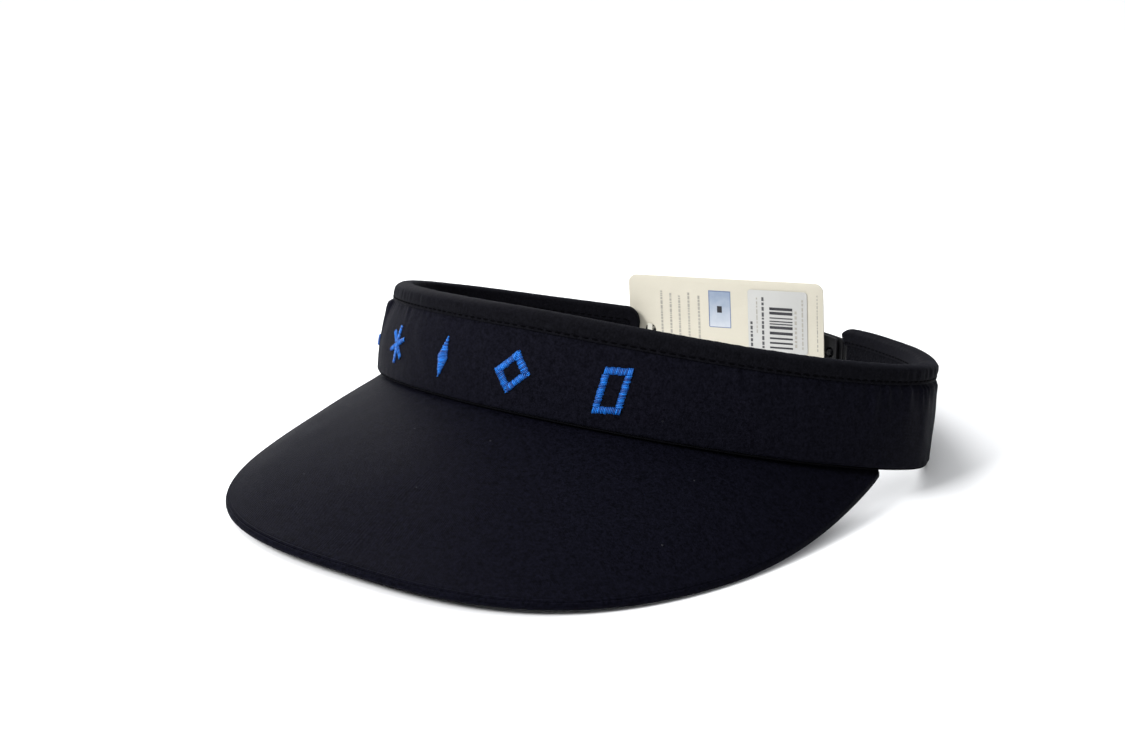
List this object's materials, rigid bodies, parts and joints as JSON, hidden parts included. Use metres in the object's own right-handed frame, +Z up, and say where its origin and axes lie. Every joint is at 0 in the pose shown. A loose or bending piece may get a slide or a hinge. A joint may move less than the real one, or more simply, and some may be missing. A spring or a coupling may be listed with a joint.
{
  "type": "sun visor",
  "caption": "Open-topped sun visor: padded fabric head band, stiff arched brim, plastic snap strap across the back and a card hang tag.",
  "frame": {"origin": "middle of the bounding box in plan, on the surface the visor lies on", "axes": "the wearer faces -Y (the brim points to -Y), +X is the wearer's left, +Z is up with the visor lying on a table"},
  "size_m": [0.2026, 0.256, 0.0613],
  "materials": {
    "band_cloth": "near-black navy microfibre, fine weave",
    "sweat_cloth": "black looped towelling",
    "core_foam": "dark open foam between two cloths",
    "elastic": "black woven elastic",
    "binding": "black folded elastic tape",
    "brim_cloth": "near-black navy microfibre, smooth over the board",
    "brim_board": "stiff moulded board",
    "stitching": "dark polyester thread",
    "embroidery": "bright blue satin stitch",
    "strap_plastic": "black moulded plastic, satin",
    "card": "cream uncoated card",
    "sticker": "white paper label",
    "pin_plastic": "clear-white nylon"
  },
  "bodies": {
    "visor": {"band_shell": "band_cloth", "band_foam": "core_foam", "elastic_left": "elastic", "elastic_right": "elastic", "sweatband": "sweat_cloth", "top_binding": "binding", "binding_stitch": "stitching", "hem_tape": "binding", "brim_top_cover": "brim_cloth", "brim_board": "brim_board", "brim_under_cover": "brim_cloth", "brim_edge_roll": "brim_cloth", "peg_strap_root": "strap_plastic", "hole_strap": "strap_plastic", "strap_anchor_patch": "band_cloth", "tag_pin": "pin_plastic", "mark_star": "embroidery", "mark_lozenge": "embroidery", "mark_diamond": "embroidery", "mark_frame": "embroidery", "mark_small": "embroidery"},
    "snap_strap": {"peg_strap": "strap_plastic"},
    "tag": {"tag_card": "card", "price_sticker": "sticker"}
  },
  "joints": [
    {"name": "snap_strap_swing", "type": "hinge", "parent": "visor", "child": "snap_strap", "pos_m": [0.03151, 0.11865, 0.0103], "axis": [0.0405, -0.0858, -0.9955], "range_deg": [0, 95]},
    {"name": "tag_swing", "type": "hinge", "parent": "visor", "child": "tag", "pos_m": [-0.04769, 0.10774, 0.0104], "axis": [0.1352, -0.9908, 0], "range_deg": [0, 10]}
  ]
}
